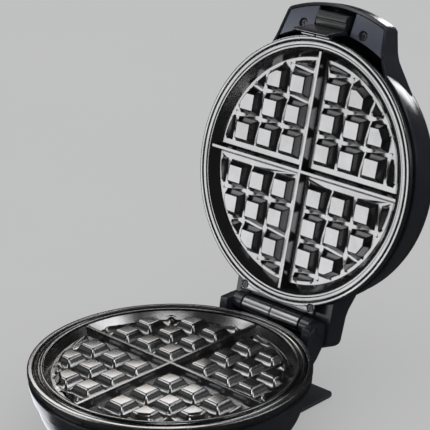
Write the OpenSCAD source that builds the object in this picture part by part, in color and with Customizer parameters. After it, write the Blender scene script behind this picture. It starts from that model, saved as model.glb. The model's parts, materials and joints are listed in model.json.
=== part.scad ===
// Round waffle maker: a deep-pocket grid plate in the base and another in the lid, a rear hinge
// that opens past vertical, and a sprung latch in the front handle.
//
// Origin: centre of the base on the table. +Z up, -Y towards the handle, +Y towards the hinge.
// The lid is drawn closed, then turned back about the hinge to its rest, which is fully open.

/* [Grid plates] */
// Distance between the centres of neighbouring bosses
boss_pitch = 22.5; // [20:0.5:25]
// Width of a square boss at the plate's floor
boss_base_w = 18.8; // [16:0.2:19.6]
// Width of a square boss at its top
boss_top_w = 13; // [8:0.5:14]
// Depth of the plate's floor below its rim
tray_depth = 6.8; // [5:0.2:9]
// Gap between the boss tops and the rim's plane
boss_drop = 1.1; // [0.5:0.1:2]
// Radius of the flat floor
tray_r = 83.7; // [80:0.1:85]
// Thickness of the plate under its floor
plate_t = 3; // [2:0.5:4]

/* [Casing] */
// Height above the table of the plane where lid and base meet
parting_z = 55; // [50:1:60]
// Outer radius of the base's top ring
base_r = 100; // [100:0.1:102]
// Outer radius of the lid's ring
lid_r = 99.3; // [99:0.1:100]
// Thickness of the plastic shells
wall = 2.4; // [2:0.1:3]
// Height of the lid's crown above the plane where lid and base meet
crown_h = 52.5; // [48:0.5:56]

/* [Handle and hinge block] */
// Radius of the handle's outer edge about the centre of the plates
wing_r = 124; // [121:0.1:126]
// Half width of the handle at its outer corners
handle_half_w = 47; // [43:0.5:48]
// Half width of the lid's hinge block
block_half_w = 46.8; // [46:0.1:50]
// Radius of the hinge block's outer edge about the centre of the plates
block_r = 130.2; // [126:0.1:131]

/* [Hinge] */
// Distance from the plates' centre back to the hinge axis
hinge_y = 108.4; // [107:0.1:110]
// Height of the hinge axis above the plane where lid and base meet
hinge_rise = 1.1; // [0.5:0.1:2]
// Angle between the open lid and the closed lid
open_angle = 103.5; // [95:0.5:105]
// Radius of the hinge barrel
barrel_r = 6.4; // [5.5:0.1:6.6]
// Radius of the two hinge pins
pin_r = 3; // [2.5:0.1:3.5]

/* [Latch] */
// Half width of the latch lever
latch_half_w = 14; // [12:0.5:15]
// Distance from the plates' centre forward to the latch's pivot
latch_y = 109; // [107:0.5:111]
// Height of the latch's pivot above the plane where lid and base meet
latch_rise = 18.5; // [17:0.5:19]

/* [Tail foot] */
// Half width of the foot plate that stops the open lid from tipping the base
tail_half_w = 50; // [44:1:52]
// Distance from the base's centre to the back edge of the foot plate
tail_y = 120; // [115:0.5:130]

/* [Hidden] */
$fn = 72;

// Plates: distances along the radius and down from the rim's plane
rim_gap = 0.2;          // from the plane where lid and base meet to each rim
lip_in_r = 89.2;        // inner edge of the raised lip
lip_out_r = 90.8;       // outer edge of the raised lip
groove_out_r = 92.4;    // outer edge of the groove beside the lip
groove_depth = 1.3;
flange_r = 95.6;        // edge of the flat flange
flange_drop = 0.4;
flange_t = 3;
rib_half_w = 3.3;       // divider rib at the floor
rib_crest_half_w = 1.1;
rib_drop = 1;
first_boss = 0.746 * boss_pitch;
boss_count = 4;         // boss rows on each side of a divider rib, the last one cut short
clip_r = 81.2;          // circle that cuts the outer bosses at the floor
boss_h = tray_depth - boss_drop;
boss_slope = (boss_base_w - boss_top_w) / 2 / boss_h;
floor_sink = 0.6;       // how far bosses and ribs run into the floor
plate_under = tray_depth + plate_t;
post_ring_r = 72;       // plate fixing posts
post_r = 4.5;
post_h = 9.8;
post_angles = [45, 135, 225, 315];

// Heating parts, below each plate
element_r = 56;
tube_r = 3.3;
element_z = -(plate_under + tube_r + 0.1);
element_sweep = 320;
reflector_t = 0.8;
reflector_z = -(plate_under + post_h + reflector_t);
reflector_r = 80;
clip_angles = [60, 160, 260];
clip_sweep = 10;

// Casing rings: the same step, groove and shoulder on base and lid
bezel_in_r = 96.2;
ring_h = 4.5;
groove_h = 4;
groove_r = 96.4;
shoulder_h = ring_h + groove_h;
ledge_r = 92.8;         // the plate's flange rests outside this radius
ledge_z = 3.9;
step_h = 20.6;          // from the meeting plane down to the step below the shoulder

// Base
cover_r = 68;
cover_z = 3.5;
cover_t = 2.5;
cover_ledge_r = 60;
cover_screw_r = 64;
ring_foot_in = 46;
ring_foot_out = 53;
tail_z = 1.2;
tail_t = cover_z - tail_z;
tail_inner_r = 55;
tail_screw = [24, 59];
gland_z = 20;
gland_neck_r = 6;
gland_wire_r = 3.8;
gland_y = 88;
gland_seat = [84.8, 92.4];  // flat faces on the housing that the gland's two flanges grip

// Hinge
hinge_z = parting_z + hinge_rise;
barrel_end = 27.6;
stub_start = 28.7;
ear_in = 37.2;
ear_out = 44.4;
ear_r = 6.9;
ear_top = 5;
block_z = 8.6;          // underside of the lid's hinge block above the meeting plane
lip_t = 1.2;            // closing plate's lip under the hinge block's walls
running_gap = 0.05;

// Handle and latch
face_in_r = 104;
face_out_r = wing_r - wall - 0.4;
pocket_half_w = 17.2;
hook_y = 100.8;         // inner face of the hook blade at its tip
hook_tip = -14.4;
hook_lean = 3.4;        // how far the blade leans out over its height
hook_t = 2.2;
hook_half_w = 16;
claw_y = 98.3;
claw_z = [-8.2, -4.9];    // the claws sit in the groove under the base's ring
keeper_t = 0.8;
keeper_sweep = 18;
seat_z = 13.3;          // where the handle screws' heads rest
latch_pin_r = 1.5;
handle_screw = [28.1, 105.4];
post_z = 15.2;          // underside of the posts inside the handle
flange_screw = [32.4, 95];
lens_r = 3.4;
lens_x = 9;
lens_y = -60;

black = "#16171b";
coat = "#4a4a4e";
steel = "#b9bcc0";
dull = "#85878b";

// ---------- shared shapes ----------

module at_parting() translate([0, 0, parting_z]) children();

// Parts drawn as if under a plate that faces up are turned over for the lid.
module for_base() translate([0, 0, parting_z - rim_gap]) children();
module for_lid() lid_pose() translate([0, 0, parting_z + rim_gap]) mirror([0, 0, 1]) children();

module lid_pose()
    translate([0, hinge_y, hinge_z])
        rotate([-open_angle, 0, 0])
            translate([0, -hinge_y, -hinge_z]) children();

// Lid parts measured from the meeting plane, lid closed.
module on_lid() lid_pose() at_parting() children();

module along_x(x0, x1) translate([x0, 0, 0]) rotate([90, 0, 90]) linear_extrude(x1 - x0) children();

module around(angles, r) for (a = angles) rotate([0, 0, a]) translate([r, 0, 0]) children();

// Pan-head screw with a cross slot: head up, shank down, its seat at z = 0.
module screw(shank_r, shank_l, head_r, head_h) {
    difference() {
        union() {
            translate([0, 0, -shank_l]) cylinder(r = shank_r, h = shank_l + 0.1);
            cylinder(r1 = head_r, r2 = head_r * 0.8, h = head_h);
        }
        for (a = [0, 90])
            rotate([0, 0, a])
                translate([-head_r * 0.6, -head_r * 0.12, head_h * 0.45])
                    cube([head_r * 1.2, head_r * 0.24, head_h]);
    }
}

// Round lead along a route with its corners eased. Side is any direction that the route never takes.
function unit(v) = v / norm(v);
function ease(route) = concat([route[0]],
    [for (i = [0 : len(route) - 2]) each
        [route[i] * 0.75 + route[i + 1] * 0.25, route[i] * 0.25 + route[i + 1] * 0.75]],
    [route[len(route) - 1]]);

module wire(route, r, side) {
    path = ease(ease(route));
    last = len(path) - 1;
    sides = 10;
    rings = [for (i = [0 : last])
        let (t = unit(path[min(i + 1, last)] - path[max(i - 1, 0)]), u = unit(cross(t, side)), v = cross(t, u))
        for (k = [0 : sides - 1]) path[i] + r * (cos(k * 360 / sides) * u + sin(k * 360 / sides) * v)];
    walls = [for (i = [0 : last - 1], k = [0 : sides - 1]) let (n = (k + 1) % sides)
        [i * sides + k, (i + 1) * sides + k, (i + 1) * sides + n, i * sides + n]];
    polyhedron(rings, concat(walls, [[for (k = [0 : sides - 1]) k]],
        [[for (k = [sides - 1 : -1 : 0]) last * sides + k]]));
}

function arc(cx, cy, r, a0, a1, steps) =
    [for (i = [0 : steps]) let (a = a0 + (a1 - a0) * i / steps) [cx + r * cos(a), cy + r * sin(a)]];
function ellipse_arc(cx, cy, rx, ry, a0, a1, steps) =
    [for (i = [0 : steps]) let (a = a0 + (a1 - a0) * i / steps) [cx + rx * cos(a), cy + ry * sin(a)]];
function bezier(a, b, c, steps) =
    [for (i = [0 : steps]) let (t = i / steps) a * (1 - t) * (1 - t) + b * 2 * t * (1 - t) + c * t * t];
function flip_x(points) = [for (i = [len(points) - 1 : -1 : 0]) [-points[i][0], points[i][1]]];

// ---------- grid plates ----------

// Ridge along X with sloped sides, standing on the floor of the tray.
module ridge(half_base, half_top, height) {
    sink_w = floor_sink * (half_base - half_top) / height;
    along_x(-tray_r - 6, tray_r + 6)
        polygon([
            [-half_base - sink_w, -tray_depth - floor_sink], [half_base + sink_w, -tray_depth - floor_sink],
            [half_top, height - tray_depth], [-half_top, height - tray_depth]
        ]);
}

module boss_rows()
    for (side = [-1, 1], i = [0 : boss_count - 1])
        translate([0, side * (first_boss + i * boss_pitch), 0])
            ridge(boss_base_w / 2, boss_top_w / 2, boss_h);

module bosses()
    intersection() {
        boss_rows();
        rotate([0, 0, 90]) boss_rows();
        translate([0, 0, -tray_depth - floor_sink])
            cylinder(r1 = clip_r + boss_slope * floor_sink, r2 = clip_r - boss_slope * boss_h,
                h = boss_h + floor_sink);
    }

module divider_ribs()
    intersection() {
        union() for (a = [0, 90])
            rotate([0, 0, a]) ridge(rib_half_w, rib_crest_half_w, tray_depth - rib_drop);
        translate([0, 0, -tray_depth - floor_sink])
            cylinder(r1 = tray_r + 0.5, r2 = lip_in_r + 0.4, h = tray_depth + floor_sink);
    }

module tray()
    rotate_extrude()
        polygon([
            [0, -plate_under], [0, -tray_depth], [tray_r, -tray_depth], [lip_in_r, -0.5],
            [lip_in_r + 0.4, 0], [lip_out_r - 0.3, 0], [lip_out_r, -groove_depth],
            [groove_out_r - 0.2, -groove_depth], [groove_out_r, -flange_drop],
            [flange_r, -flange_drop], [flange_r, -flange_drop - flange_t],
            [groove_out_r - 0.4, -flange_drop - flange_t], [lip_out_r, -groove_depth - plate_t],
            [tray_r + 2.5, -plate_under]
        ]);

module grid_plate()
    difference() {
        union() {
            tray();
            bosses();
            divider_ribs();
            around(post_angles, post_ring_r)
                translate([0, 0, -plate_under - post_h]) cylinder(r = post_r, h = post_h + 0.5);
        }
        around(post_angles, post_ring_r)
            translate([0, 0, -plate_under - post_h - 1]) cylinder(r = 1.6, h = post_h);
    }

module plate_screws()
    around(post_angles, post_ring_r)
        translate([0, 0, reflector_z - 0.05]) mirror([0, 0, 1]) screw(1.5, post_h - 2, 3.6, 2.2);

// ---------- heating parts under a plate ----------

module heating_element() {
    leg = 11;
    translate([0, 0, element_z]) {
        rotate_extrude(angle = element_sweep) translate([element_r, 0]) circle(r = tube_r, $fn = 24);
        for (a = [0, element_sweep]) rotate([0, 0, a]) translate([element_r, 0, 0]) {
            translate([0, 0, -leg]) cylinder(r = tube_r + 0.3, h = leg + tube_r, $fn = 24);
            translate([0, 0, -leg - 5]) cylinder(r = 1.6, h = 6, $fn = 24);
        }
    }
}

// Hat-shaped straps that press the element's tube against the plate.
module element_clips() {
    t = 1;
    inner = tube_r + 0.15;
    crest = element_z - inner;
    seat = -plate_under - 0.05;
    for (a = clip_angles) rotate([0, 0, a - clip_sweep / 2])
        rotate_extrude(angle = clip_sweep)
            polygon([
                [element_r - inner - 6, seat], [element_r - inner, seat], [element_r - inner, crest],
                [element_r + inner, crest], [element_r + inner, seat], [element_r + inner + 6, seat],
                [element_r + inner + 6, seat - t], [element_r + inner + t, seat - t],
                [element_r + inner + t, crest - t], [element_r - inner - t, crest - t],
                [element_r - inner - t, seat - t], [element_r - inner - 6, seat - t]
            ]);
}

module heat_reflector()
    difference() {
        rotate_extrude()
            polygon([
                [12, reflector_z], [reflector_r, reflector_z], [reflector_r + 4, reflector_z + 7],
                [reflector_r + 4 - reflector_t, reflector_z + 7.4],
                [reflector_r - reflector_t, reflector_z + reflector_t], [12, reflector_z + reflector_t]
            ]);
        around(post_angles, post_ring_r) translate([0, 0, reflector_z - 1]) cylinder(r = 2.2, h = 3);
        around([0, element_sweep], element_r)
            translate([0, 0, reflector_z - 1]) cylinder(r = tube_r + 1.2, h = 3);
    }

// ---------- base ----------

// Outline of a casing half: heights run away from the meeting plane.
base_wall = concat(
    [[groove_r, ring_h], [groove_r, shoulder_h], [base_r - 0.8, shoulder_h], [base_r - 0.4, shoulder_h + 0.6],
     [base_r - 0.8, 12], [base_r - 2.4, step_h - 2], [base_r - 3.4, step_h - 0.4]],
    ellipse_arc(64, step_h, 30.5, 31.5, 0, 76, 12)
);
base_wall_in = concat(
    ellipse_arc(64, step_h, 30.5 - wall, 31.5 - wall, 66, 0, 10),
    [[93.6, step_h - 3], [93.6, shoulder_h - 1], [ledge_r - 0.2, ledge_z + 2.6], [ledge_r - 0.2, ledge_z],
     [bezel_in_r, ledge_z], [bezel_in_r, ring_h]]
);

module ear_profile()
    polygon(concat(
        [[92, -step_h - 3], [95.4, -step_h + 8], [95.4, -2], [96.8, ear_top]],
        arc(hinge_y, hinge_rise, ear_r, 34, -13.5, 6),
        [[112.1, -13.5], [106, -21], [96, -30]]
    ));

module hinge_platform_profile()
    polygon([
        [90, -shoulder_h], [109, -shoulder_h], [110, -shoulder_h - 1], [110, -17], [105, -22.5],
        [97, -29], [90, -29]
    ]);

module base_housing() color(black)
    difference() {
        union() {
            at_parting() mirror([0, 0, 1])
                rotate_extrude() polygon(concat(base_wall, [[60, 51.5], [60, 49]], base_wall_in));
            at_parting() difference() {
                union() {
                    for (side = [0, 1]) mirror([side, 0, 0]) {
                        along_x(ear_in, ear_out) ear_profile();
                        translate([0, hinge_y, hinge_rise])
                            along_x(stub_start, ear_in + 0.5) circle(r = barrel_r);
                    }
                    along_x(-ear_in - 1, ear_in + 1) hinge_platform_profile();
                }
                mirror([0, 0, 1]) cylinder(r = 92, h = 40);
                // room inside the platform for the leads to the lid
                translate([-ear_in + 1, 80, -20]) cube([2 * ear_in - 2, 27, 8.5]);
            }
            translate([0, gland_seat[0], gland_z]) rotate([-90, 0, 0])
                cylinder(r = 8.4, h = gland_seat[1] - gland_seat[0]);
            // thicker spots that take the cover screws
            around(post_angles, cover_screw_r)
                translate([0, 0, cover_z + cover_t]) cylinder(r = 3.6, h = 5);
        }
        // bottom opening
        translate([0, 0, cover_z - 1]) cylinder(r = cover_r + 0.3, h = cover_t + 1);
        around(post_angles, cover_screw_r) translate([0, 0, cover_z]) cylinder(r = 1.7, h = cover_t + 4);
        // hinge pin bores
        for (side = [0, 1]) mirror([side, 0, 0])
            translate([0, hinge_y, hinge_z])
                along_x(stub_start - 1, ear_out + 1) circle(r = pin_r + running_gap);
        // cord entry
        translate([0, 70, gland_z]) rotate([-90, 0, 0]) {
            cylinder(r = gland_neck_r + 0.15, h = 40);
            cylinder(r = 8.6, h = gland_seat[0] - 70);
            translate([0, 0, gland_seat[1] - 70]) cylinder(r = 9, h = 20);
        }
        // way for the lid's leads into the hinge platform
        translate([-36, 80, 26.6]) cube([5, 18, 13.9]);
    }

module base_bezel() color(coat)
    at_parting() mirror([0, 0, 1]) rotate_extrude()
        polygon([
            [bezel_in_r, 1], [bezel_in_r + 0.5, 0.5], [base_r - 1.2, 0.5], [base_r - 0.3, 0.9], [base_r, 1.8],
            [base_r, ring_h - 0.4], [base_r - 0.4, ring_h], [bezel_in_r + 0.1, ring_h], [bezel_in_r, ledge_z]
        ]);

module base_grid_plate() color(coat) for_base() grid_plate();
module base_plate_screws() color(steel) for_base() plate_screws();
module base_heating_element() color(dull) for_base() heating_element();
module base_element_clips() color(steel) for_base() element_clips();
module base_heat_reflector() color(steel) for_base() heat_reflector();

module base_cover() color(black)
    difference() {
        union() {
            translate([0, 0, cover_z]) cylinder(r = cover_r, h = cover_t);
            // stand for the terminal block
            translate([-17, 30, cover_z + cover_t - 0.2]) cube([34, 18, 3.2]);
        }
        around(post_angles, cover_screw_r) translate([0, 0, cover_z - 1]) cylinder(r = 2, h = cover_t + 2);
        for (side = [-1, 1])
            translate([side * tail_screw[0], tail_screw[1], cover_z - 1]) cylinder(r = 1.7, h = cover_t + 2);
        // ventilation slots
        for (i = [-3 : 3])
            translate([i * 9 - 1.5, -30, cover_z - 1]) cube([3, 36, cover_t + 2]);
        // seat of the foot ring
        translate([0, 0, cover_z - 0.1]) difference() {
            cylinder(r = ring_foot_out + 0.2, h = 0.9);
            translate([0, 0, -1]) cylinder(r = ring_foot_in - 0.2, h = 3);
        }
    }

module base_cover_screws() color(dull)
    around(post_angles, cover_screw_r)
        translate([0, 0, cover_z]) mirror([0, 0, 1]) screw(1.6, cover_t + 3.5, 3.2, 1.8);

module foot_ring() color("#26262a")
    rotate_extrude()
        polygon([
            [ring_foot_in, cover_z + 0.6], [ring_foot_in, 0.8], [ring_foot_in + 0.8, 0],
            [ring_foot_out - 0.8, 0], [ring_foot_out, 0.8], [ring_foot_out, cover_z + 0.6]
        ]);

tail_outline = concat(
    [[-tail_half_w - 1, 40], [tail_half_w + 1, 40]],
    arc(tail_half_w - 4, tail_y - 4, 4, 0, 90, 6),
    arc(4 - tail_half_w, tail_y - 4, 4, 90, 180, 6)
);

module tail_foot() color("#303237")
    difference() {
        translate([0, 0, tail_z]) linear_extrude(tail_t) polygon(tail_outline);
        translate([0, 0, tail_z - 1]) cylinder(r = tail_inner_r, h = tail_t + 2);
        for (side = [-1, 1])
            translate([side * tail_screw[0], tail_screw[1], tail_z - 1]) cylinder(r = 2, h = tail_t + 2);
        around([45, 135], cover_screw_r) translate([0, 0, tail_z - 1]) cylinder(r = 3.6, h = tail_t + 2);
        for (side = [-1, 1])
            translate([side * (tail_half_w - 9), tail_y - 9, tail_z - 0.1]) cylinder(r = 5.1, h = 0.7);
    }

module tail_foot_screws() color(dull)
    for (side = [-1, 1])
        translate([side * tail_screw[0], tail_screw[1], tail_z + 1]) mirror([0, 0, 1]) {
            translate([0, 0, -cover_t - 1.2]) cylinder(r = 1.6, h = cover_t + 1.3);
            cylinder(r = 1.9, h = 0.9);
        }

module tail_pads() color("#26262a")
    for (side = [-1, 1])
        translate([side * (tail_half_w - 9), tail_y - 9, 0])
            cylinder(r1 = 4.6, r2 = 5, h = tail_z + 0.5);

// Bimetal disc thermostat, pressed on the middle of the base plate.
module thermostat() color("#d8d2c4") for_base() {
    translate([0, 0, -plate_under - 0.9]) cylinder(r = 9.5, h = 0.8);
    translate([0, 0, -plate_under - 12]) cylinder(r = 8.2, h = 11.2);
    for (side = [-1, 1])
        translate([side * 5 - 0.4, -3, -plate_under - 19]) cube([0.8, 6, 7.2]);
}

module thermal_fuse() color("#c9a25a")
    for_base() translate([34, 0, reflector_z - 4]) rotate([90, 0, 0]) {
        translate([0, 0, -6]) cylinder(r = 2, h = 12);
        translate([0, 0, -16]) cylinder(r = 0.6, h = 32, $fn = 16);
    }

module terminal_block() color("#e6e3da")
    difference() {
        translate([-16, 31, cover_z + cover_t + 3.1]) cube([32, 16, 11]);
        for (x = [-10, 0, 10]) {
            translate([x, 39, cover_z + cover_t + 8]) cylinder(r = 2.6, h = 10);
            translate([x, 30, cover_z + cover_t + 7]) rotate([-90, 0, 0]) cylinder(r = 1.8, h = 20);
        }
    }

module terminal_screws() color("#c9a25a")
    for (x = [-10, 0, 10])
        translate([x, 39, cover_z + cover_t + 8.1]) difference() {
            cylinder(r = 2.4, h = 3);
            translate([-2, -0.3, 2]) cube([4, 0.6, 2]);
        }

module cord_gland() color("#202126")
    translate([0, gland_y, gland_z]) rotate([-90, 0, 0])
        rotate_extrude()
            polygon([
                [gland_wire_r, -6], [8, -6], [8, -3.4], [gland_neck_r, -3.4], [gland_neck_r, 4.6],
                [8.4, 4.6], [8.4, 8], [6.6, 11], [6, 26], [5.4, 27], [gland_wire_r, 27]
            ]);

// Leads between the terminal block, the thermostat, the heating element and the hinge.
module base_wiring() color("#e8e4dc") {
    top_z = cover_z + cover_t + 7;
    leg_z = parting_z - rim_gap + element_z - 16.2;
    wire([[10, 30.8, top_z], [12, 24, top_z], [22, 14, 14], [52, 4, 14], [element_r, 0, 18],
        [element_r, 0, leg_z]], 1, [0.3, 1, -0.2]);
    wire([[0, 30.8, top_z], [0, 20, top_z], [5, 8, 16], [5, 0, 20], [5, 0, parting_z - plate_under - 19.4]],
        1, [1, 0.2, 0.1]);
    wire([[-10, 30.8, top_z], [-14, 24, top_z], [-30, 30, 18], [-32, 56, 20], [-32, 82, 24],
          [-33.5, 92, 38], [-33.5, 97, 38]],
        1, [0.3, -0.2, 1]);
}

// Curved strip on the wall of the groove under the ring, where the hook's claws come in.
module latch_keeper() color(dull)
    at_parting() mirror([0, 0, 1]) rotate([0, 0, -90 - keeper_sweep / 2])
        rotate_extrude(angle = keeper_sweep)
            translate([groove_r, ring_h + 0.1]) square([keeper_t, groove_h - 0.2]);

// Hollow pins: the lid's leads run through them.
module hinge_pins() color(steel)
    for (side = [0, 1]) mirror([side, 0, 0])
        translate([0, hinge_y, hinge_z]) along_x(8, ear_out - 0.6)
            difference() {
                circle(r = pin_r);
                circle(r = 1.8);
            }

module hinge_pin_caps() color(black)
    for (side = [0, 1]) mirror([side, 0, 0])
        translate([0, hinge_y, hinge_z]) {
            along_x(ear_out - 0.5, ear_out + 0.05) circle(r = pin_r);
            along_x(ear_out + 0.05, ear_out + 0.6) circle(r = pin_r + 0.8);
        }

// ---------- lid ----------

// Side of the dome, from its lower edge up over the crown.
function dome_profile(inset) = concat(
    [[lid_r - 0.6 - inset, shoulder_h], [lid_r - inset, shoulder_h + 0.8], [lid_r - 0.6 - inset, 14],
     [lid_r - 2.4 - inset, 23]],
    ellipse_arc(72, 30, 22.8 - inset, 20 - inset, 0, 78, 9),
    [for (r = [60, 45, 30, 15, 0]) [r, crown_h - inset - 2.6 * pow(r / 72, 2)]]
);

module dome(inset, z0)
    rotate_extrude() polygon(concat([[0, z0]], [[dome_profile(inset)[0][0], z0]], dome_profile(inset)));

// The handle and the hinge block stand out from the dome with the same sloping top.
module wing(outline, out_r, inset, z0)
    intersection() {
        linear_extrude(60) polygon(outline);
        rotate_extrude()
            polygon(concat(
                [[50, z0], [out_r + 2, z0], [out_r + 2, 20]],
                arc(out_r - 3.4 - inset, 22 - inset, 3.6, 0, 80, 6),
                [[110, 26.6 - inset], [105, 28.2 - inset], [100, 31.6 - inset], [94, 35.6 - inset],
                 [88, 38 - inset], [50, 38 - inset]]
            ));
    }

// Half outline of the handle, right side, from its outer edge to the dome.
corner_r = 5;
corner = [handle_half_w - corner_r, sqrt(pow(wing_r - corner_r, 2) - pow(handle_half_w - corner_r, 2))];
function handle_side(inset) = concat(
    arc(corner[0], corner[1], corner_r - inset, 66, 0, 5),
    [[handle_half_w + 1.4 - inset, 104]],
    bezier([handle_half_w + 3 - inset, 96], [handle_half_w + 5.3 - inset, 86], [66 - inset, 64], 6)
);
function outer_arc(half_w, out_r) =
    [for (i = [-7 : 7]) let (x = half_w * i / 7) [x, sqrt(out_r * out_r - x * x)]];
function handle_outline(inset) =
    concat([[-40, 50], [-66 + inset, 58]], flip_x(handle_side(inset)),
        outer_arc(handle_half_w - 5.5 - inset, wing_r - inset), handle_side(inset),
        [[66 - inset, 58], [40, 50]]);
block_corner_r = 7;
block_corner = [block_half_w - block_corner_r,
    sqrt(pow(block_r - block_corner_r, 2) - pow(block_half_w - block_corner_r, 2))];
function block_side(inset) =
    concat(arc(block_corner[0], block_corner[1], block_corner_r - inset, 71, 0, 5),
        [[block_half_w - inset, 60]]);
function block_outline(inset) =
    concat(flip_x(block_side(inset)), outer_arc(block_half_w - block_corner_r - inset, block_r - inset),
        block_side(inset));

// Curved underside of the handle, as a profile from the inner to the outer edge.
face_curve = bezier([face_in_r - 6, 8.3], [face_in_r + 4, 8.6], [wing_r + 3, 14], 7);

module below_face()
    rotate_extrude()
        polygon(concat([[80, -5], [80, shoulder_h + 0.1]], face_curve, [[140, 14], [140, -5]]));

module lid_shell() color(black) on_lid()
    difference() {
        union() {
            difference() {
                union() {
                    dome(0, shoulder_h);
                    mirror([0, 1, 0]) difference() {
                        wing(handle_outline(0), wing_r, 0, 4);
                        below_face();
                    }
                    wing(block_outline(0), block_r, 0, block_z + lip_t);
                }
                dome(wall, shoulder_h - 1);
                cylinder(r = dome_profile(wall)[0][0], h = shoulder_h);
                mirror([0, 1, 0]) wing(handle_outline(wall), wing_r, wall, 0);
                wing(block_outline(wall), block_r, wall, block_z - 1);
            }
            // posts for the handle screws, and two cheeks that carry the latch pin
            for (side = [-1, 1]) {
                translate([side * handle_screw[0], -handle_screw[1], post_z]) cylinder(r = 3.6, h = 9.8);
                translate([side * (pocket_half_w + 1.9) - 1.5, -latch_y - 5, post_z]) cube([3, 10, 9.4]);
            }
        }
        for (side = [-1, 1])
            translate([side * handle_screw[0], -handle_screw[1], 10]) cylinder(r = 1.6, h = 12);
        translate([0, -latch_y, latch_rise]) along_x(-pocket_half_w - 3, pocket_half_w + 3)
            circle(r = latch_pin_r + 0.02);
        for (side = [-1, 1]) translate([side * lens_x, lens_y, 30]) cylinder(r = lens_r + 0.15, h = 30);
    }

// Inner frame: carries the lid's plate, closes the hinge block and ties the ring to the shell.
module lid_frame() color(black) on_lid()
    difference() {
        union() {
            rotate_extrude()
                polygon([
                    [ledge_r, ledge_z], [bezel_in_r, ledge_z], [bezel_in_r, ring_h], [groove_r, ring_h],
                    [groove_r, shoulder_h - 0.2], [96, shoulder_h], [96, shoulder_h + 3],
                    [93.4, shoulder_h + 3], [93.4, ledge_z + 3]
                ]);
            intersection() {
                translate([-block_half_w, 88, block_z]) cube([2 * block_half_w, block_r - 88, 2.2]);
                linear_extrude(30) polygon(block_outline(wall + 0.3));
            }
            // lip that covers the end of the hinge block's walls
            difference() {
                translate([0, 0, block_z]) linear_extrude(lip_t) polygon(block_outline(0.1));
                cylinder(r = lid_r + 0.3, h = 20);
            }
        }
        translate([0, 0, block_z - 0.1]) cylinder(r = 93.4, h = 5);
        // slot for the barrel's web
        translate([-20, hinge_y - 2.5, block_z - 1]) cube([40, 5, 4]);
    }

module lid_bezel() color(coat) on_lid()
    difference() {
        union() {
            rotate_extrude()
                polygon([
                    [bezel_in_r, 1], [bezel_in_r + 0.5, 0.5], [lid_r - 1, 0.5], [lid_r - 0.2, 0.9],
                    [lid_r, 1.6], [lid_r, ring_h - 0.4], [lid_r - 0.4, ring_h],
                    [bezel_in_r + 0.1, ring_h], [bezel_in_r, ledge_z]
                ]);
            intersection() {
                translate([-36.4, 80, 0.7]) cube([72.8, 19.6, 3]);
                difference() {
                    cylinder(r = 120, h = 10);
                    translate([0, 0, -1]) cylinder(r = bezel_in_r + 1.5, h = 12);
                }
            }
        }
        for (side = [-1, 1]) translate([side * flange_screw[0], flange_screw[1], 0]) {
            cylinder(r = 1.7, h = 10);
            cylinder(r = 3.1, h = 1.9);
        }
    }

// Two knuckles that meet in the middle, with a web up into the hinge block.
module hinge_barrel() color(black) on_lid()
    for (side = [0, 1]) mirror([side, 0, 0])
        difference() {
            union() {
                translate([0, hinge_y, hinge_rise]) along_x(0.25, barrel_end) circle(r = barrel_r);
                translate([0.25, hinge_y - 4, hinge_rise])
                    cube([barrel_end - 3, 8, block_z - hinge_rise - 0.05]);
                translate([0.25, hinge_y - 2.2, hinge_rise]) cube([19.4, 4.4, block_z - hinge_rise + 3]);
            }
            translate([0, hinge_y, hinge_rise]) along_x(-1, barrel_end + 1) circle(r = pin_r + running_gap);
        }

module hinge_flange_screws() color(steel) on_lid()
    for (side = [-1, 1])
        translate([side * flange_screw[0], flange_screw[1], 1.9]) mirror([0, 0, 1]) screw(1.5, 5, 2.8, 1.1);

module lid_grid_plate() color(coat) for_lid() grid_plate();
module lid_plate_screws() color(steel) for_lid() plate_screws();
module lid_heating_element() color(dull) for_lid() heating_element();
module lid_element_clips() color(steel) for_lid() element_clips();
module lid_heat_reflector() color(steel) for_lid() heat_reflector();

// Two satin plates that close the handle's underside, one on each side of the latch pocket.
module handle_face() color("#3c4154") on_lid() mirror([0, 1, 0])
    difference() {
        intersection() {
            linear_extrude(60) polygon(handle_outline(wall + 0.3));
            rotate_extrude()
                polygon(concat(
                    [for (p = face_curve) if (p[0] > face_in_r - 0.1 && p[0] < face_out_r) [p[0], p[1] + 0.5]],
                    [[face_out_r, 12.9], [face_out_r, post_z - 0.1], [face_in_r + 5, post_z - 0.1],
                     [face_in_r + 0.2, 13.8]]
                ));
            translate([-60, 90, 0]) cube([120, 40, 30]);
        }
        translate([-pocket_half_w, 90, 0]) cube([2 * pocket_half_w, 50, 30]);
        for (side = [-1, 1]) translate([side * handle_screw[0], handle_screw[1], 0]) {
            cylinder(r = 1.8, h = 20);
            cylinder(r = 3.7, h = seat_z);
        }
    }

module handle_screws() color(steel) on_lid()
    for (side = [-1, 1])
        translate([side * handle_screw[0], -handle_screw[1], seat_z]) mirror([0, 0, 1]) screw(1.5, 8, 3.1, 1.6);

module lamp_board() color("#2f6b3c") on_lid() {
    difference() {
        translate([-16, lens_y - 7, 36]) cube([32, 14, 1.4]);
        for (side = [-1, 1]) translate([side * 13.5, lens_y, 35]) cylinder(r = 1.2, h = 4);
    }
    for (side = [-1, 1]) translate([side * lens_x, lens_y, 37.3]) cylinder(r = 2, h = 3);
}

// Domed light pipe that shows on the lid's crown.
module lens(side, tint) color(tint) on_lid()
    translate([side * lens_x, lens_y, 40.4]) {
        cylinder(r = lens_r, h = 10.9);
        translate([0, 0, 10.8]) cylinder(r1 = lens_r, r2 = lens_r - 1, h = 0.8);
        cylinder(r = lens_r + 1.2, h = 2);
    }
module power_lens() lens(-1, "#a02018");
module ready_lens() lens(1, "#2f8a3a");

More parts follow.
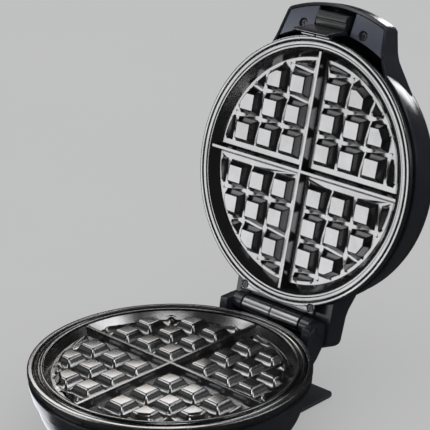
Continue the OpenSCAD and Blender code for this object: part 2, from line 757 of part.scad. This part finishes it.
// Leads from the hinge to the heating element and to the lamps.
module lid_wiring() color("#e8e4dc") on_lid() {
    leg_z = rim_gap - element_z + 16.2;
    wire([[34, 112, 14], [34, 92, 18], [52, 40, 38], [element_r, 0, leg_z + 8], [element_r, 0, leg_z]],
        1, [1, 0.1, 0.3]);
    wire([[-34, 112, 14], [-34, 92, 18], [-30, 40, 40], [-14, -20, 42], [-14, lens_y + 8, 39]],
        1, [1, 0.1, 0.3]);
}

// ---------- latch ----------

// Ridged lever in the handle's pocket, turning on a pin.
module latch_lever() color("#22242b") on_lid() mirror([0, 1, 0])
    difference() {
        union() {
            along_x(-latch_half_w, latch_half_w)
                polygon([
                    [105.8, 8], [107.4, 7], [110.4, 6.6], [110.9, 7.6], [111.6, 7.6], [112.1, 6.6],
                    [114.6, 6.6], [115.1, 7.6], [115.8, 7.6], [116.2, 6.9], [117.4, 8.4], [117.6, 15],
                    [114, 18.5], [105.8, 18.5]
                ]);
            translate([0, latch_y, latch_rise]) along_x(-latch_half_w, latch_half_w) circle(r = 3.3);
        }
        translate([0, latch_y, latch_rise]) along_x(-latch_half_w - 1, latch_half_w + 1)
            circle(r = latch_pin_r + running_gap);
        // gap for the spring
        translate([0, latch_y, latch_rise]) along_x(-3.6, 3.6) circle(r = 4.4);
    }

// Leaning blade that reaches down past the base's ring, with two claws.
module latch_hook() color("#3a3d45") on_lid() mirror([0, 1, 0])
    difference() {
        union() {
            along_x(-hook_half_w, hook_half_w)
                polygon([
                    [hook_y, hook_tip], [hook_y + hook_t, hook_tip], [hook_y + hook_lean + hook_t, 5.4],
                    [105.7, 7.8], [105.7, 9], [hook_y + hook_lean - 0.8, 9]
                ]);
            // tab on the lever's inner face
            along_x(-latch_half_w + 1, latch_half_w - 1)
                polygon([[103.4, 8], [105.7, 8], [105.7, 15], [103.4, 15]]);
            for (side = [-1, 1]) translate([side * 7 - 6.4, 0, 0])
                along_x(0, 12.8)
                    polygon([
                        [hook_y + 2.2, claw_z[1]], [claw_y, claw_z[1]], [claw_y, claw_z[0] + 1.4],
                        [claw_y + 1, claw_z[0]], [hook_y + 2, claw_z[0]]
                    ]);
        }
        for (side = [-1, 1])
            translate([side * 9, 90, 11]) rotate([-90, 0, 0]) cylinder(r = 1.3, h = 30);
    }

module latch_hook_rivets() color(steel) on_lid()
    for (side = [-1, 1])
        translate([side * 9, -105.7, 11]) rotate([-90, 0, 0]) {
            cylinder(r = 1.2, h = 2.4);
            translate([0, 0, 2.3]) cylinder(r = 2.2, h = 0.9);
        }

module latch_pin() color(steel) on_lid()
    translate([0, -latch_y, latch_rise])
        along_x(-pocket_half_w - 2.9, pocket_half_w + 2.9) circle(r = latch_pin_r);

// Torsion spring: its turns lie round the pin, one leg on the lever and one on the shell.
module latch_spring() color(dull) on_lid()
    translate([0, -latch_y, latch_rise]) {
        for (x = [-2.4 : 1.2 : 2.4])
            translate([x, 0, 0]) rotate([0, 90, 0])
                rotate_extrude() translate([2.8, 0]) circle(r = 0.5, $fn = 32);
        translate([2.4, 2.8, 0]) cylinder(r = 0.45, h = 4.4, $fn = 32);
    }

base_housing();
base_bezel();
base_grid_plate();
base_plate_screws();
base_heating_element();
base_element_clips();
base_heat_reflector();
base_cover();
base_cover_screws();
foot_ring();
tail_foot();
tail_foot_screws();
tail_pads();
thermostat();
thermal_fuse();
terminal_block();
terminal_screws();
cord_gland();
base_wiring();
latch_keeper();
hinge_pins();
hinge_pin_caps();
lid_shell();
lid_frame();
lid_bezel();
hinge_barrel();
hinge_flange_screws();
lid_grid_plate();
lid_plate_screws();
lid_heating_element();
lid_element_clips();
lid_heat_reflector();
handle_face();
handle_screws();
lamp_board();
power_lens();
ready_lens();
lid_wiring();
latch_lever();
latch_hook();
latch_hook_rivets();
latch_pin();
latch_spring();
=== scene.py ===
"""Waffle maker, standing open: looks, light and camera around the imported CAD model."""

import json
import math

import bmesh
import bpy
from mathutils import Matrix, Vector


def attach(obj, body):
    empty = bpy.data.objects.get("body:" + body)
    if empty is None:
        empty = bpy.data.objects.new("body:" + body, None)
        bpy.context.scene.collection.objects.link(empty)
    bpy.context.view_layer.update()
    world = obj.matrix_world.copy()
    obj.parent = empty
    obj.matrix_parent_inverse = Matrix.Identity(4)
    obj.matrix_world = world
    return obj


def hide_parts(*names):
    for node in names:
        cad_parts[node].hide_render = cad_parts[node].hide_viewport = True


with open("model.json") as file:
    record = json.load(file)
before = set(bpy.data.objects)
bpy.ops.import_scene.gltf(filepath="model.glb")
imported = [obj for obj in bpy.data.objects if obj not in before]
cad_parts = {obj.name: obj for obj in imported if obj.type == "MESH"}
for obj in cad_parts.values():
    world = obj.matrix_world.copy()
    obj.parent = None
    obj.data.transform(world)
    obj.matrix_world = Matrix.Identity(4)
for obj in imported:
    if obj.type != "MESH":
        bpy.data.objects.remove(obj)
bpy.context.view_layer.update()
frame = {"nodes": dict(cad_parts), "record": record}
scene = bpy.context.scene

MM = 0.001
SMOOTH_UNDER = math.radians(30)   # edges of the CAD meshes that bend less are shaded smooth
ROUND_OVER = math.radians(24)     # edges that bend more are rounded, or sharp where concave
SLIVER_CORNER = math.radians(9)   # a face with a narrower corner than this is a sliver
SAME_PLANE = 0.99998              # cosine between the normals of faces in one plane
WELD = 0.004 * MM                 # vertices closer than this are one
LONGEST_FLAT = 30 * MM            # flats that reach further stay in triangles
LONGEST_FULL_EDGE = 20 * MM       # longer edges may be rounded less

# ---------- materials ----------


class Graph:
    """A material's node tree, with short calls for the nodes used here."""

    def __init__(self, name):
        self.material = bpy.data.materials.new(name)
        self.material.use_nodes = True
        self.nodes = self.material.node_tree.nodes
        self.links = self.material.node_tree.links
        self.nodes.clear()
        self.shader = self.nodes.new("ShaderNodeBsdfPrincipled")
        output = self.nodes.new("ShaderNodeOutputMaterial")
        self.links.new(self.shader.outputs["BSDF"], output.inputs["Surface"])
        self.place = self.nodes.new("ShaderNodeTexCoord").outputs["Object"]

    def set(self, **values):
        """Constants on the shader's own sockets."""
        for key, value in values.items():
            self.shader.inputs[key.replace("_", " ")].default_value = value

    def link(self, source, target):
        self.links.new(source, self.shader.inputs[target])

    def node(self, kind, **inputs):
        """A new node with its inputs linked or set."""
        made = self.nodes.new(kind)
        for key, value in inputs.items():
            socket = made.inputs[key.replace("_", " ")]
            if hasattr(value, "is_output"):
                self.links.new(value, socket)
            else:
                socket.default_value = value
        return made

    def noise(self, scale, detail=3.0, roughness=0.55, stretch=(1, 1, 1)):
        mapping = self.node("ShaderNodeMapping", Vector=self.place, Scale=stretch)
        made = self.node("ShaderNodeTexNoise", Vector=mapping.outputs["Vector"], Scale=scale, Detail=detail,
                         Roughness=roughness)
        return made.outputs["Fac"]

    def spread(self, value, low, high, from_low=0.3, from_high=0.7):
        """Maps a noise's middle range to low..high."""
        made = self.node("ShaderNodeMapRange", Value=value)
        made.inputs["From Min"].default_value = from_low
        made.inputs["From Max"].default_value = from_high
        made.inputs["To Min"].default_value = low
        made.inputs["To Max"].default_value = high
        return made.outputs["Result"]

    def mix(self, factor, first, second):
        made = self.nodes.new("ShaderNodeMix")
        made.data_type = "RGBA"
        for index, value in ((0, factor), (6, first), (7, second)):
            if hasattr(value, "is_output"):
                self.links.new(value, made.inputs[index])
            else:
                made.inputs[index].default_value = value
        return made.outputs[2]

    def bump(self, height, strength, distance, radius=0.0):
        """Surface relief, over edges that look rounded to the radius. Returns the finished material."""
        made = self.node("ShaderNodeBump", Height=height, Strength=strength, Distance=distance)
        if radius:
            bevel = self.nodes.new("ShaderNodeBevel")
            bevel.samples = 4
            bevel.inputs["Radius"].default_value = radius
            self.links.new(bevel.outputs["Normal"], made.inputs["Normal"])
        self.link(made.outputs["Normal"], "Normal")
        return self.material


def shade(colour, factor=1.0):
    """The colour as RGBA, made darker or lighter by the factor."""
    return (*(c * factor for c in colour), 1.0)


def moulded(name, colour, roughness, grain=0.05):
    """Injection-moulded plastic: fine grain, slight unevenness and softened edges."""
    g = Graph(name)
    cloud = g.noise(35)
    lighter = tuple(min(1.0, c * 1.25 + 0.002) for c in colour)
    g.link(g.mix(g.spread(cloud, 0, 1), shade(colour), shade(lighter)), "Base Color")
    g.link(g.spread(g.noise(60, 5), roughness * 0.85, roughness * 1.2), "Roughness")
    g.set(IOR=1.5)
    return g.bump(g.noise(2600, 2), grain, 0.05 * MM, 0.4 * MM)


def coated(name, colour, roughness, edge=0.5 * MM):
    """Smooth dark coating on cast metal or steel, with a faint speckle."""
    g = Graph(name)
    cloud = g.noise(28, 4)
    g.link(g.mix(g.spread(cloud, 0, 1), shade(colour), shade(colour, 0.8)), "Base Color")
    g.link(g.spread(g.noise(90, 6), roughness * 0.85, roughness * 1.2), "Roughness")
    g.set(Metallic=1.0)
    return g.bump(g.noise(900, 3), 0.06, 0.05 * MM, edge)


def metal(name, colour, roughness, stretch=(1, 1, 1)):
    """Bare or plated metal. The stretch draws its marks out along an axis."""
    g = Graph(name)
    g.link(g.mix(g.spread(g.noise(120, 4), 0, 1), shade(colour), shade(colour, 0.75)), "Base Color")
    g.link(g.spread(g.noise(300, 4, stretch=stretch), roughness * 0.75, roughness * 1.3), "Roughness")
    g.set(Metallic=1.0)
    return g.bump(g.noise(700, 3, stretch=stretch), 0.08, 0.05 * MM, 0.2 * MM)


def soft(name, colour, roughness):
    """Matt rubber with a coarse grain."""
    g = Graph(name)
    g.link(g.mix(g.spread(g.noise(80, 5), 0, 1), shade(colour), shade(colour, 1.4)), "Base Color")
    g.link(g.spread(g.noise(200, 4), roughness * 0.9, min(1.0, roughness * 1.1)), "Roughness")
    return g.bump(g.noise(900, 4), 0.25, 0.1 * MM, 0.4 * MM)


def sleeve(name, colour):
    """Woven glass sleeving on a lead."""
    g = Graph(name)
    wave = g.node("ShaderNodeTexWave", Vector=g.place, Scale=900.0, Distortion=1.5)
    g.link(g.mix(wave.outputs["Fac"], shade(colour), shade(colour, 0.7)), "Base Color")
    g.set(Roughness=0.8)
    return g.bump(wave.outputs["Fac"], 0.4, 0.1 * MM)


def lens_material(name, colour):
    """Clear coloured plastic of an indicator lens."""
    g = Graph(name)
    g.link(g.mix(g.noise(400), shade(colour), shade(colour, 0.7)), "Base Color")
    g.set(Roughness=0.12, Transmission_Weight=0.5, IOR=1.49)
    return g.bump(g.noise(500), 0.03, 0.05 * MM, 0.3 * MM)


def make_materials():
    """Each material slot of the record with its material."""
    return {
        "black_plastic": moulded("black_plastic", (0.010, 0.011, 0.014), 0.22),
        "nonstick": coated("nonstick", (0.29, 0.29, 0.295), 0.2),
        "ring_coat": coated("ring_coat", (0.32, 0.325, 0.33), 0.24),
        "face_satin": moulded("face_satin", (0.03, 0.034, 0.05), 0.32, grain=0.12),
        "lever_plastic": moulded("lever_plastic", (0.008, 0.009, 0.011), 0.24, grain=0.08),
        "tail_plastic": moulded("tail_plastic", (0.016, 0.017, 0.02), 0.36, grain=0.1),
        "hook_steel": coated("hook_steel", (0.24, 0.24, 0.25), 0.24, 0.3 * MM),
        "zinc_steel": metal("zinc_steel", (0.62, 0.62, 0.63), 0.32),
        "screw_steel": metal("screw_steel", (0.09, 0.09, 0.095), 0.3),
        "pin_steel": metal("pin_steel", (0.6, 0.6, 0.61), 0.22, (1, 30, 30)),
        "element_sheath": metal("element_sheath", (0.3, 0.29, 0.28), 0.5),
        "rubber": soft("rubber", (0.018, 0.018, 0.019), 0.75),
        "ceramic": moulded("ceramic", (0.75, 0.72, 0.64), 0.35),
        "brass": metal("brass", (0.75, 0.55, 0.26), 0.3),
        "nylon": moulded("nylon", (0.75, 0.73, 0.66), 0.5),
        "gland_rubber": soft("gland_rubber", (0.02, 0.02, 0.022), 0.6),
        "lead_sleeve": sleeve("lead_sleeve", (0.75, 0.72, 0.64)),
        "board": moulded("board", (0.04, 0.2, 0.08), 0.35),
        "red_lens": lens_material("red_lens", (0.6, 0.03, 0.02)),
        "green_lens": lens_material("green_lens", (0.04, 0.45, 0.09)),
    }


MATERIALS = make_materials()
SLOT_OF = {part["node"]: part["material_slot"] for part in frame["record"]["subparts"]}
for node_name, node_object in frame["nodes"].items():
    mesh = node_object.data
    mesh.materials.clear()
    mesh.materials.append(MATERIALS[SLOT_OF[node_name]])
    mesh.shade_smooth()
    mesh.set_sharp_from_angle(angle=SMOOTH_UNDER)

# ---------- meshes with rounded edges, made from the CAD nodes ----------

BODY_OF = {node: body for body, nodes in frame["record"]["behaviour"]["bodies"].items() for node in nodes}


def flat_patches(bm):
    """Groups of triangles lying in one plane and joined along edges."""
    seen = set()
    for start in bm.faces:
        if start in seen:
            continue
        patch, queue = [], [start]
        seen.add(start)
        while queue:
            face = queue.pop()
            patch.append(face)
            for edge in face.edges:
                for other in edge.link_faces:
                    if other not in seen and other.normal.dot(start.normal) > SAME_PLANE:
                        seen.add(other)
                        queue.append(other)
        yield patch


def join_flats(bm):
    """Joins each small flat patch without a hole in it to one face."""
    inner_edges = []
    for patch in flat_patches(bm):
        faces = set(patch)
        edges = {edge for face in patch for edge in face.edges}
        verts = {vert for face in patch for vert in face.verts}
        inner = [edge for edge in edges if len(edge.link_faces) == 2 and faces.issuperset(edge.link_faces)]
        reach = max((vert.co - patch[0].verts[0].co).length for vert in verts)
        if len(patch) > 1 and reach < LONGEST_FLAT and len(verts) - len(edges) + len(faces) == 1:
            inner_edges += inner
    bm.edges.index_update()
    inner_edges.sort(key=lambda edge: edge.index)   # a set has no fixed order, and each run must give the same mesh
    bmesh.ops.dissolve_edges(bm, edges=inner_edges, use_verts=False, use_face_split=False)


def mark_edges(bm, long_share):
    """Weights the convex edges for rounding, the long ones by their share, and keeps the others sharp."""
    weight = bm.edges.layers.float.new("bevel_weight_edge")
    for edge in bm.edges:
        edge.smooth = len(edge.link_faces) != 2 or edge.calc_face_angle(0) < ROUND_OVER
        if edge.smooth or not edge.is_convex:
            continue
        corners = [loop.calc_angle() for face in edge.link_faces for loop in face.loops
                   if loop.edge == edge or loop.link_loop_prev.edge == edge]
        if min(corners) > SLIVER_CORNER:
            edge[weight] = 1.0 if edge.calc_length() < LONGEST_FULL_EDGE else long_share
            edge.smooth = True


def soften(node_name, radius, long_share=1.0):
    """A copy of a CAD node with its flats joined up and its convex edges rounded, in place of the node."""
    mesh = frame["nodes"][node_name].data.copy()
    mesh.name = node_name + "_rounded"
    bm = bmesh.new()
    bm.from_mesh(mesh)
    bmesh.ops.remove_doubles(bm, verts=bm.verts, dist=WELD)
    bm.normal_update()
    join_flats(bm)
    for face in bm.faces:
        face.smooth = True
    mark_edges(bm, long_share)
    bm.to_mesh(mesh)
    bm.free()
    piece = bpy.data.objects.new(mesh.name, mesh)
    scene.collection.objects.link(piece)
    bevel = piece.modifiers.new("round", "BEVEL")
    bevel.width = radius
    bevel.segments = 3
    bevel.limit_method = "WEIGHT"
    bevel.use_clamp_overlap = False
    weighted = piece.modifiers.new("normals", "WEIGHTED_NORMAL")
    weighted.keep_sharp = True
    weighted.weight = 100
    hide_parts(node_name)
    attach(piece, BODY_OF[node_name])
    return piece


base_plate = soften("base_grid_plate", 1.8 * MM, long_share=0.5)
lid_plate = soften("lid_grid_plate", 0.7 * MM)
handle_plates = soften("handle_face", 0.5 * MM)
soften("latch_lever", 0.6 * MM)
soften("latch_hook", 0.4 * MM)
soften("tail_foot", 0.5 * MM)
lid_casing = soften("lid_shell", 0.5 * MM)
base_casing = soften("base_housing", 0.5 * MM)
barrel = soften("hinge_barrel", 0.5 * MM)
soften("lid_bezel", 0.3 * MM)
soften("base_bezel", 0.3 * MM)

# ---------- stage, light and camera ----------


def make_floor():
    """A plain pale floor that the object doesn't mirror."""
    bpy.ops.mesh.primitive_circle_add(vertices=96, radius=5, fill_type="NGON", location=(0, 0, 0))
    floor = bpy.context.object
    floor.name = "studio_floor"
    g = Graph("studio_floor")
    patches = g.spread(g.noise(3), 0, 1)
    g.link(g.mix(patches, shade((0.21, 0.211, 0.212)), shade((0.213, 0.214, 0.215))), "Base Color")
    g.set(Roughness=0.9, Specular_IOR_Level=0.1)
    floor.data.materials.append(g.material)
    floor.visible_glossy = False
    floor.visible_shadow = False
    return floor


def make_world():
    """Even light on everything, but dark in reflections, as in a studio with black walls."""
    world = bpy.data.worlds.new("studio")
    scene.world = world
    world.use_nodes = True
    nodes, links = world.node_tree.nodes, world.node_tree.links
    background = nodes["Background"]
    path = nodes.new("ShaderNodeLightPath")
    mix = nodes.new("ShaderNodeMix")
    mix.inputs["A"].default_value = 1.0
    mix.inputs["B"].default_value = 0.03
    links.new(path.outputs["Is Glossy Ray"], mix.inputs["Factor"])
    links.new(mix.outputs["Result"], background.inputs["Strength"])
    background.inputs["Color"].default_value = (1, 1, 1, 1)


def softbox(name, azimuth, elevation, distance, size, strength, tint=(1, 1, 1), aim=(0, 0.05, 0.12)):
    """A rectangular area light that faces the aim.

    The azimuth, in degrees from +X towards +Y, and the elevation say where it stands as seen from the aim.
    """
    a = math.radians(azimuth)
    e = math.radians(elevation)
    away = Vector((math.cos(a) * math.cos(e), math.sin(a) * math.cos(e), math.sin(e)))
    data = bpy.data.lights.new(name, "AREA")
    data.shape = "RECTANGLE"
    data.size, data.size_y = size
    data.energy = strength * size[0] * size[1] * math.pi
    data.color = tint
    light = bpy.data.objects.new(name, data)
    light.location = Vector(aim) + away * distance
    light.rotation_euler = (-away).to_track_quat("-Z", "Y").to_euler()
    light.visible_camera = False
    scene.collection.objects.link(light)
    return light


def floor_fill():
    """An even light for the floor without shadows, so that the ones under the object stay faint."""
    data = bpy.data.lights.new("floor_fill", "SUN")
    data.energy = 1.5 * math.pi
    data.use_shadow = False
    light = bpy.data.objects.new("floor_fill", data)
    scene.collection.objects.link(light)
    return light


def link_lights(lights, things, state):
    """EXCLUDE: these lights don't shine on the things. INCLUDE: they shine on nothing else."""
    linked = bpy.data.collections.new("linked_to_" + lights[0].name)
    for number, thing in enumerate(things):
        linked.objects.link(thing)
        linked.collection_objects[number].light_linking.link_state = state
    for light in lights:
        light.light_linking.receiver_collection = linked


def make_camera():
    """Looks at the object from the front right and a little above."""
    data = bpy.data.cameras.new("camera")
    data.sensor_width = 36
    data.lens = 136.66
    data.clip_end = 50
    camera = bpy.data.objects.new("camera", data)
    scene.collection.objects.link(camera)
    camera.location = (0.7392, -0.7189, 0.558)
    camera.rotation_euler = (math.radians(90 - 20.92), 0, math.radians(44.06))
    scene.camera = camera


make_camera()
make_world()
floor = make_floor()

# Each softbox: name, azimuth, elevation, distance and size in metres, strength, then tint and aim if any.
link_lights([
    softbox("front_left_softbox", 229, 1, 1.6, (1.4, 0.76), 2.4),
    softbox("right_card", 42, 15, 1.6, (0.8, 0.5), 0.4),
], [floor, base_plate], "EXCLUDE")
link_lights([
    softbox("back_card", 136, 0, 0.5, (0.34, 0.24), 3.6, (1, 0.96, 0.92), (-0.07, -0.07, 0.44)),
    softbox("top_left_softbox", 212, 48, 1.3, (0.8, 0.36), 3.0),
    softbox("top_right_card", 85, 47, 1.3, (0.6, 0.36), 2.0),
    softbox("right_high_card", 30, 48, 1.3, (0.8, 0.34), 3.4),
], [floor, lid_plate], "EXCLUDE")
link_lights([
    softbox("left_low_card", 229, 18, 1.6, (0.9, 0.3), 0.2),
    softbox("right_low_card", 42, 24, 1.6, (0.7, 0.3), 0.2),
    softbox("front_card", 314, 49, 1.5, (0.6, 0.35), 6.0),
], [base_plate], "INCLUDE")
link_lights([
    softbox("handle_card", 222, 14, 1.2, (0.5, 0.26), 4.0, (0.85, 0.92, 1), (0, 0.17, 0.25)),
], [handle_plates], "INCLUDE")
link_lights([floor_fill()], [floor], "INCLUDE")
link_lights([
    softbox("floor_card", 162, -30, 1.0, (1.2, 0.5), 2.2, (0.92, 0.95, 1)),
], [base_casing], "INCLUDE")
link_lights([
    softbox("hinge_card", 222, 33, 1.4, (0.6, 0.3), 1.3),
], [barrel, base_casing], "INCLUDE")
link_lights([
    softbox("rim_card", 108, 9, 0.8, (0.34, 0.3), 6.0, aim=(0.05, 0.17, 0.25)),
], [lid_casing], "INCLUDE")
scene.view_settings.view_transform = "Standard"
